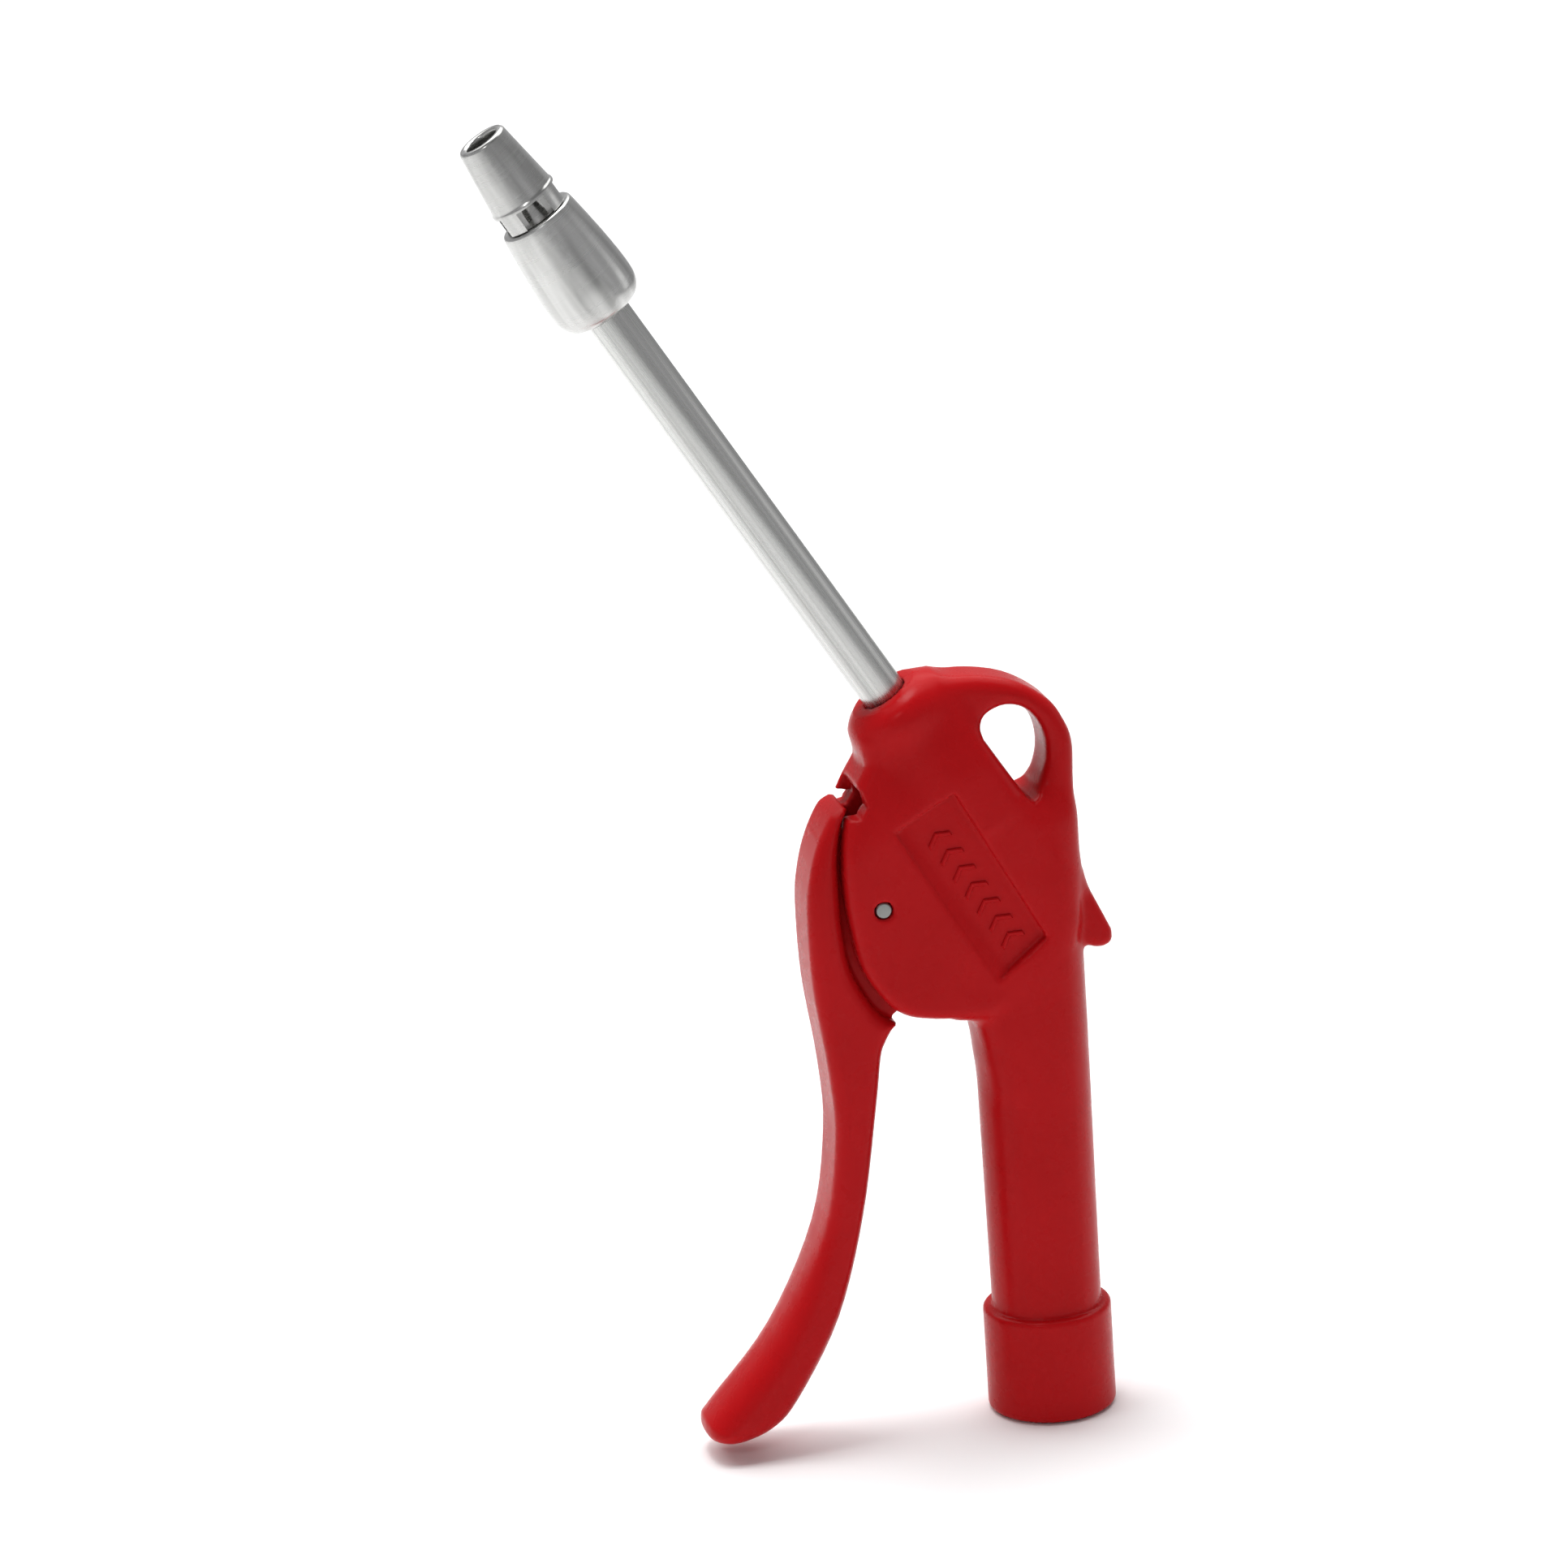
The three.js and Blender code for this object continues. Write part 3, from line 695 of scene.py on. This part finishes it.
web_outline = [(-37, 113), (-37, 80), (-27.4, 77.4), (-23.6, 80.2), (-20.6, 83.4),
               (-21.4, 88.8), (-23.2, 99.2), (-24.6, 103.3), (-31, 113)]
HUB_R = 4.3
CAM_R = 2.6
CAM_X, CAM_Z = across(0, CAM_SIDE - CAM_R)
WEB_HALF = 2.9
GRIP_EDGE = 2.6
TIP_POWER = 2.6                       # 2 is an ellipse, and more is squarer
TIP_DEPTH = 4.6


def lever_distance(x, y, z):
    """The grip, square above and rounder at the tip, with the web, the hub and the cam."""
    flat = outline_distance(lever_outline, x, z)
    grip = rounded(flat, np.abs(y) - LEVER_HALF, GRIP_EDGE)
    reach = (np.maximum(1 + flat / TIP_DEPTH, 0) ** TIP_POWER
             + (np.abs(y) / LEVER_HALF) ** TIP_POWER)
    tip = (reach ** (1 / TIP_POWER) - 1) * TIP_DEPTH - 0.6
    blend = ease(-z, -60, -14)
    grip = grip * (1 - blend) + tip * blend
    from_pin = np.hypot(x - PIN_X, z - PIN_Z)
    cam = np.hypot(x - CAM_X, z - CAM_Z) - CAM_R
    plate = np.minimum(np.minimum(from_pin - HUB_R, cam), outline_distance(web_outline, x, z))
    web = rounded(plate, np.abs(y) - WEB_HALF, 0.5)
    form = melt(grip, web, 0.8)
    pin_hole = from_pin - PIN_HOLE_R
    return np.maximum(form, -pin_hole)


# %% Lever mesh
lever_low, lever_high = size_of("lever")
lever_piece = skin("lever_moulding", lever_distance, lever_low, lever_high, 0.45, nylon, "lever")
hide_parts("lever")

# %% [markdown]
# ## Turned pieces
#
# Tube, tip, socket, valve parts and pin all come off a lathe. A lathe piece is a profile
# turned about an axis: a list of radius and height, up the outside and back down the bore.
# A machinist breaks every sharp edge, so the profile's corners are cut back first by a small
# arc. Those narrow bands catch the light, which a bare corner never does.

# %% Lathe
def broken_edges(profile, radius):
    """The profile with an arc at each corner that is not on the axis."""
    p = [Vector(q) for q in profile]
    eased = []
    for k, here in enumerate(p):
        before, after = p[k - 1] - here, p[(k + 1) % len(p)] - here
        reach = min(radius, before.length * 0.4, after.length * 0.4)
        straight = before.normalized().dot(after.normalized()) < -0.97
        if here.x == 0 or straight:
            eased.append(tuple(here))
            continue
        start, end = here + before.normalized() * reach, here + after.normalized() * reach
        for t in (0, 1 / 3, 2 / 3, 1):
            eased.append(tuple(start * (1 - t) ** 2 + here * 2 * t * (1 - t) + end * t * t))
    return eased


def lathe_mesh(profile, place, sides):
    """A closed surface of revolution about Z, put in its place, in metres."""
    rings, corners, faces = [], [], []
    for radius, height in profile:
        if radius == 0:
            rings.append([len(corners)] * sides)
            corners.append((0, 0, height))
            continue
        rings.append(list(range(len(corners), len(corners) + sides)))
        for k in range(sides):
            angle = 2 * math.pi * k / sides
            corners.append((radius * math.cos(angle), radius * math.sin(angle), height))
    if profile[0][0] > 0:
        rings.append(rings[0])
    for low, high in zip(rings, rings[1:]):
        for k in range(sides):
            n = (k + 1) % sides
            face = list(dict.fromkeys((low[k], low[n], high[n], high[k])))
            if len(face) > 2:
                faces.append(face)
    mesh = bpy.data.meshes.new("turned")
    mesh.from_pydata(corners, [], faces)
    mesh.transform(IN_METRES @ place)
    return mesh


def turn(name, profile, place, material, node, edge=0.15, sides=72, body="gun_body"):
    """Turns a profile into the piece that replaces a CAD node."""
    mesh = lathe_mesh(broken_edges(profile, edge), place, sides)
    piece = finished(name, mesh, material, body)
    piece.data.set_sharp_from_angle(angle=math.radians(40))
    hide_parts(node)
    print(f"{name}: {len(mesh.polygons)} faces")


# %% [markdown]
# The tube is drawn, cut square and lightly deburred. The socket is moulded into the nose and
# never seen, but it is made to the same standard, as are the parts of the valve.

# %% Nozzle tube, socket and jet
TUBE_BORE_R = 2.5
nozzle_low, nozzle_high = 31.2, 133.0
turn("drawn_tube", [(TUBE_BORE_R, nozzle_low), (TUBE_R, nozzle_low), (TUBE_R, nozzle_high),
                    (TUBE_BORE_R, nozzle_high)],
     nozzle_place, nickel_tube, "nozzle_tube", edge=0.3, sides=96)
turn("brass_socket", [(2.5, 29.3), (5.5, 29.3), (6, 29.8), (6, 33), (5.3, 33.6), (5.3, 35.4),
                      (6, 36), (6, 40.5), (4.15, 40.5), (4.15, 31), (2.5, 31)],
     nozzle_place, brass_head, "nozzle_socket")
turn("inner_jet", [(1, 143.4), (5, 143.4), (5, 145.7), (3.5, 145.7), (3.5, 150), (2.6, 152),
                   (1.6, 157), (1, 157)],
     nozzle_place, nickel_tip, "tip_jet")

# %% [markdown]
# ## The safety tip
#
# The tip is two turned pieces. The barrel swells from the tube and has two spanner flats.
# The shroud screws into it, and four windows at its root let air escape if the mouth is
# blocked. Windows and flats repeat round the axis, so one Geometry Nodes tree cuts both: it
# sets a box beside the axis, turns copies of it round, and subtracts them.

# %% A tree that cuts round an axis
def new_tree(name, inputs):
    """An empty geometry tree with named inputs, and the sockets that carry them."""
    tree = bpy.data.node_groups.new(name, "GeometryNodeTree")
    tree.interface.new_socket(name="Geometry", in_out="OUTPUT", socket_type="NodeSocketGeometry")
    for label, kind in {**inputs, "Material": "Material"}.items():
        tree.interface.new_socket(name=label, in_out="INPUT", socket_type="NodeSocket" + kind)
    return tree, add(tree, "NodeGroupInput").outputs


def end_tree(tree, given, geometry):
    """Gives the geometry its material and sends it out."""
    painted = add(tree, "GeometryNodeSetMaterial", {
        "Geometry": geometry, "Material": given["Material"]})
    add(tree, "NodeGroupOutput", {"Geometry": painted.outputs["Geometry"]})
    print(f"{tree.name}: {len(tree.nodes)} nodes")
    return tree


def cuts_round_axis():
    tree, given = new_tree("cuts_round_axis", {
        "Geometry": "Geometry", "Count": "Int", "Box": "Vector", "Place": "Vector",
        "First Angle": "Float"})
    box = add(tree, "GeometryNodeMeshCube", {"Size": given["Box"]})
    beside = add(tree, "GeometryNodeTransform", {
        "Geometry": box.outputs["Mesh"], "Translation": given["Place"]})
    points = add(tree, "GeometryNodeMeshLine", {
        "Count": given["Count"], "Offset": (0, 0, 0)}, mode="OFFSET")
    share = add(tree, "ShaderNodeMath", {0: 2 * math.pi, 1: given["Count"]}, operation="DIVIDE")
    index = add(tree, "GeometryNodeInputIndex")
    angle = add(tree, "ShaderNodeMath", {
        0: index.outputs["Index"], 1: share.outputs[0], 2: given["First Angle"]},
        operation="MULTIPLY_ADD")
    spin = add(tree, "ShaderNodeCombineXYZ", {"Z": angle.outputs[0]})
    ring = add(tree, "GeometryNodeInstanceOnPoints", {
        "Points": points.outputs["Mesh"], "Instance": beside.outputs["Geometry"],
        "Rotation": spin.outputs[0]})
    tools = add(tree, "GeometryNodeRealizeInstances", {"Geometry": ring.outputs["Instances"]})
    cut = add(tree, "GeometryNodeMeshBoolean", {
        "Mesh 1": given["Geometry"], "Mesh 2": tools.outputs["Geometry"]},
        operation="DIFFERENCE", solver="EXACT")
    return end_tree(tree, given, cut.outputs["Mesh"])


def run_tree(tree, mesh, values):
    """Runs a geometry tree on a mesh and gives the result back as a plain mesh."""
    bench = bpy.data.objects.new("bench", mesh)
    scene.collection.objects.link(bench)
    modifier = bench.modifiers.new("tree", "NODES")
    modifier.node_group = tree
    sockets = {item.name: item.identifier for item in tree.interface.items_tree
               if item.in_out == "INPUT"}
    for name, value in values.items():
        modifier[sockets[name]] = value
    evaluated = bench.evaluated_get(bpy.context.evaluated_depsgraph_get())
    made = bpy.data.meshes.new_from_object(evaluated)
    bpy.data.objects.remove(bench)
    return made


cutter = cuts_round_axis()

# %% Barrel and shroud
def cut_and_turned(name, profile, cuts, node, edge, sides=96):
    """A turned part of the tip with boxes cut out of it round its axis."""
    mesh = lathe_mesh(broken_edges(profile, edge), upright, sides)
    mesh = run_tree(cutter, mesh, {"Material": nickel_tip, **cuts})
    mesh.transform(metric(nozzle_place))
    piece = finished(name, mesh, nickel_tip, "gun_body")
    piece.data.set_sharp_from_angle(angle=math.radians(35))
    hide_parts(node)
    print(f"{name}: {len(mesh.polygons)} faces")


barrel_side = curve_through(
    [(5.2, 130.05), (6.9, 130.9), (7.85, 132.7), (8.1, 135.2), (8.0, 138.5), (7.75, 142),
     (7.35, 146), (6.95, 149.4), (6.75, 150.6)], 4)
barrel_profile = [(4.15, 130), *barrel_side, (6.5, 150.9), (5.2, 150.9), (5.2, 143.2),
                  (2.5, 143.2), (2.5, 133.2), (4.15, 133.2)]
cut_and_turned("tip_barrel_turned", barrel_profile,
               {"Count": 2, "Box": metres(3, 20, 14), "Place": metres(9.1, 0, 134.7),
                "First Angle": math.pi / 2}, "tip_barrel", 0.12)
shroud_profile = [(3.8, 146), (5, 146), (5, 151), (6.1, 151), (6.1, 155), (5.85, 155.4),
                  (4.45, 166.8), (4.1, 167.25), (3.4, 167.25), (3.05, 166.9), (3, 166),
                  (4.4, 155.2), (4.4, 150.9), (3.8, 149.8)]
cut_and_turned("tip_shroud_windowed", shroud_profile,
               {"Count": 4, "Box": metres(4, 5.6, 3.6), "Place": metres(6, 0, 152.8),
                "First Angle": 0.0}, "tip_shroud", 0.2)

# %% [markdown]
# ## Pin and inlet insert
#
# The pin spans both cheeks and sits just below their faces. The brass insert in the foot of
# the handle has a quarter-inch pipe thread, 18 turns to the inch. A thread is a ridge that
# follows a helix, so a second tree sweeps a small section along a spiral. The same tree
# winds the valve spring.

# %% Pin
def place_pin():
    sideways = Matrix.Rotation(math.pi / 2, 4, "X")
    return Matrix.Translation((PIN_X, 0, PIN_Z)) @ sideways


turn("lever_pin_ground", [(0, -PIN_HALF), (1.25, -PIN_HALF), (1.5, 0.25 - PIN_HALF),
                          (1.5, PIN_HALF - 0.25), (1.25, PIN_HALF), (0, PIN_HALF)],
     place_pin(), pin_steel, "lever_pin", edge=0.1, sides=48)

# %% A tree that winds a helix
def wound_helix():
    tree, given = new_tree("wound_helix", {
        "Turns": "Float", "Steps": "Int", "Radius": "Float", "Height": "Float",
        "Section": "Float", "Sides": "Int"})
    path = add(tree, "GeometryNodeCurveSpiral", {
        "Resolution": given["Steps"], "Rotations": given["Turns"],
        "Start Radius": given["Radius"], "End Radius": given["Radius"],
        "Height": given["Height"]})
    steady = add(tree, "GeometryNodeSetCurveNormal", {"Curve": path.outputs["Curve"]},
                 mode="Z_UP")
    section = add(tree, "GeometryNodeCurvePrimitiveCircle", {
        "Resolution": given["Sides"], "Radius": given["Section"]})
    swept = add(tree, "GeometryNodeCurveToMesh", {
        "Curve": steady.outputs["Curve"], "Profile Curve": section.outputs["Curve"],
        "Fill Caps": True})
    whole = add(tree, "GeometryNodeRealizeInstances", {"Geometry": swept.outputs["Mesh"]})
    return end_tree(tree, given, whole.outputs["Geometry"])


winder = wound_helix()


def wind(name, place, start, material, slot, node, body="gun_body", **values):
    """Winds a helix about the place's Z axis, from the height `start`, in millimetres."""
    mesh = run_tree(winder, bpy.data.meshes.new("seed"), {"Material": material, **values})
    mesh.transform(metric(place @ Matrix.Translation((0, 0, start))))
    piece = finished(name, mesh, material, body)
    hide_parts(node)
    print(f"{name}: {len(mesh.polygons)} faces")
    return piece


# %% Insert, its thread and its seal
turn("inlet_insert_turned", [(6.9, 0.2), (7.75, 0.2), (7.75, 13.6), (6.7, 13.6), (6.7, 15.2),
                             (7.75, 15.2), (7.75, 18.1), (5.7, 18.1), (5.7, 16.2),
                             (6.3, 15.6), (6.3, 0.8)],
     upright, brass_inlet, "inlet_insert", edge=0.12, sides=96)
wind("inlet_thread", upright, 1.2, brass_inlet, "brass", "inlet_insert", Turns=10.0,
     Steps=72, Radius=6.3 * MM, Height=14.1 * MM, Section=0.6 * MM, Sides=4)


def seal(name, centre, section, height, place, node):
    angles = [2 * math.pi * k / 16 for k in range(16)]
    profile = [(centre + section * math.cos(a), height + section * math.sin(a)) for a in angles]
    turn(name, profile, place, rubber, node, edge=0, sides=64)


seal("inlet_seal", 7.25, 0.5, 14.4, upright, "insert_oring")
seal("tube_seal", 5.1, 0.8, 41.7, nozzle_place, "tube_oring")

# %% [markdown]
# ## The valve
#
# Behind the lever's cam lies the valve, on its own tilted axis: a brass cartridge with its
# seat, held by a clip and sealed twice outside and once on the stem. The stem carries a
# rubber disc that the spring holds shut. Stem, disc, washer and clip move together.

# %% Cartridge, clip, cup and seals
seal("cartridge_seal_front", 4.1, 0.5, 6.75, valve_place, "cartridge_oring_front")
seal("cartridge_seal_rear", 4.1, 0.5, 16.05, valve_place, "cartridge_oring_rear")
seal("stem_gland_seal", 2.18, 0.45, 8.65, valve_place, "stem_seal")
turn("spring_cup_turned", [(0, 28.6), (2.3, 28.6), (2.3, 30.4), (4.3, 30.4), (4.3, 31.4),
                           (0, 31.4)], valve_place, brass_valve, "spring_cup")

for node, material in (("valve_cartridge", brass_valve), ("cartridge_circlip", steel_valve),
                       ("stem_clip", steel_valve)):
    cad_piece = frame["nodes"][node]
    cad_piece.data.materials.clear()
    cad_piece.data.materials.append(material)

# %% Stem, disc and washer
turn("stem_turned", [(0, 0.3), (2.2, 0.3), (2.5, 0.7), (2.5, 1.8), (1.5, 1.8), (1.5, 16.7),
                     (2.1, 16.7), (2.1, 17.5), (1.5, 17.5), (1.5, 20.5), (1.05, 20.5),
                     (1.05, 21.3), (1.5, 21.3), (1.5, 22.3), (0, 22.3)],
     valve_place, steel_valve, "valve_stem", edge=0.12, sides=48, body="valve_stem")
turn("poppet_disc", [(1.65, 17.7), (3.8, 17.7), (3.8, 19.2), (1.65, 19.2)],
     valve_place, rubber, "poppet_seal", edge=0.25, body="valve_stem")
turn("poppet_backing", [(1.65, 19.4), (3.8, 19.4), (3.8, 20.4), (1.65, 20.4)],
     valve_place, brass_valve, "poppet_washer", edge=0.15, body="valve_stem")

# %% Spring
spring = wind("valve_spring_wound", valve_place, 21.3, spring_wire, "steel", "valve_spring",
              Turns=6.0, Steps=48, Radius=3.15 * MM, Height=8.4 * MM, Section=0.35 * MM,
              Sides=16)
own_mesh(spring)

# %% [markdown]
# ## Raised chevrons in the panel
#
# The recess on each cheek holds a raised mark. It is a plain row of chevrons that point up
# the nozzle. They repeat along a line, so a third tree sets copies of one chevron in a row.
# The chevron itself is a bevelled bar bent in the middle.

# %% One chevron
def chevron_mesh(arm, width, height, bevel):
    """A bent bar in X and Z that stands out along -Y, with its top edges cut back."""
    half = width / 2
    outer = [(-arm, -arm * 0.6 - half), (0, -half), (arm, -arm * 0.6 - half),
             (arm, -arm * 0.6 + half), (0, half), (-arm, -arm * 0.6 + half)]
    inner = [(-arm + bevel, -arm * 0.6 - half + bevel), (0, -half + bevel * 1.2),
             (arm - bevel, -arm * 0.6 - half + bevel), (arm - bevel, -arm * 0.6 + half - bevel),
             (0, half - bevel * 1.2), (-arm + bevel, -arm * 0.6 + half - bevel)]
    layers = [(outer, 0.3), (outer, -height + bevel), (inner, -height)]
    corners = [(x * MM, y * MM, z * MM) for ring, y in layers for x, z in ring]
    faces = [(0, 1, 4, 5), (1, 2, 3, 4)]
    for base in (0, 6):
        for k in range(6):
            n = (k + 1) % 6
            faces.append((base + n, base + k, base + 6 + k, base + 6 + n))
    faces += [(17, 16, 13, 12), (16, 15, 14, 13)]
    mesh = bpy.data.meshes.new("chevron")
    mesh.from_pydata(corners, [], faces)
    return mesh


# %% A tree that sets copies in a row
def row_of_copies():
    tree, given = new_tree("row_of_copies", {
        "Geometry": "Geometry", "Count": "Int", "Pitch": "Float"})
    step = add(tree, "ShaderNodeCombineXYZ", {"Z": given["Pitch"]})
    line = add(tree, "GeometryNodeMeshLine", {
        "Count": given["Count"], "Offset": step.outputs[0]}, mode="OFFSET")
    row = add(tree, "GeometryNodeInstanceOnPoints", {
        "Points": line.outputs["Mesh"], "Instance": given["Geometry"]})
    whole = add(tree, "GeometryNodeRealizeInstances", {"Geometry": row.outputs["Instances"]})
    return end_tree(tree, given, whole.outputs["Geometry"])


row_maker = row_of_copies()


# %% The two rows
def chevron_row(name, cheek):
    """A row on one cheek: cheek is -1 on the near side and +1 on the far side."""
    chevron = chevron_mesh(arm=2.3, width=0.9, height=0.45, bevel=0.18)
    mesh = run_tree(row_maker, chevron, {"Count": 7, "Pitch": 3.9 * MM, "Material": nylon})
    turn_round = Matrix.Rotation(math.pi if cheek > 0 else 0, 4, "Z")
    start = Matrix.Translation((-7.6 * MM, 0, -3.0 * MM))
    onto_face = Matrix.Translation((0, cheek * (CHEEK_HALF - PANEL_DEPTH) * MM, 0))
    mesh.transform(metric(nozzle_place) @ onto_face @ start @ turn_round)
    piece = finished(name, mesh, nylon, "gun_body")
    piece.data.set_sharp_from_angle(angle=math.radians(30))
    print(f"{name}: {len(mesh.polygons)} faces")


chevron_row("panel_chevrons_near", -1)
chevron_row("panel_chevrons_far", 1)
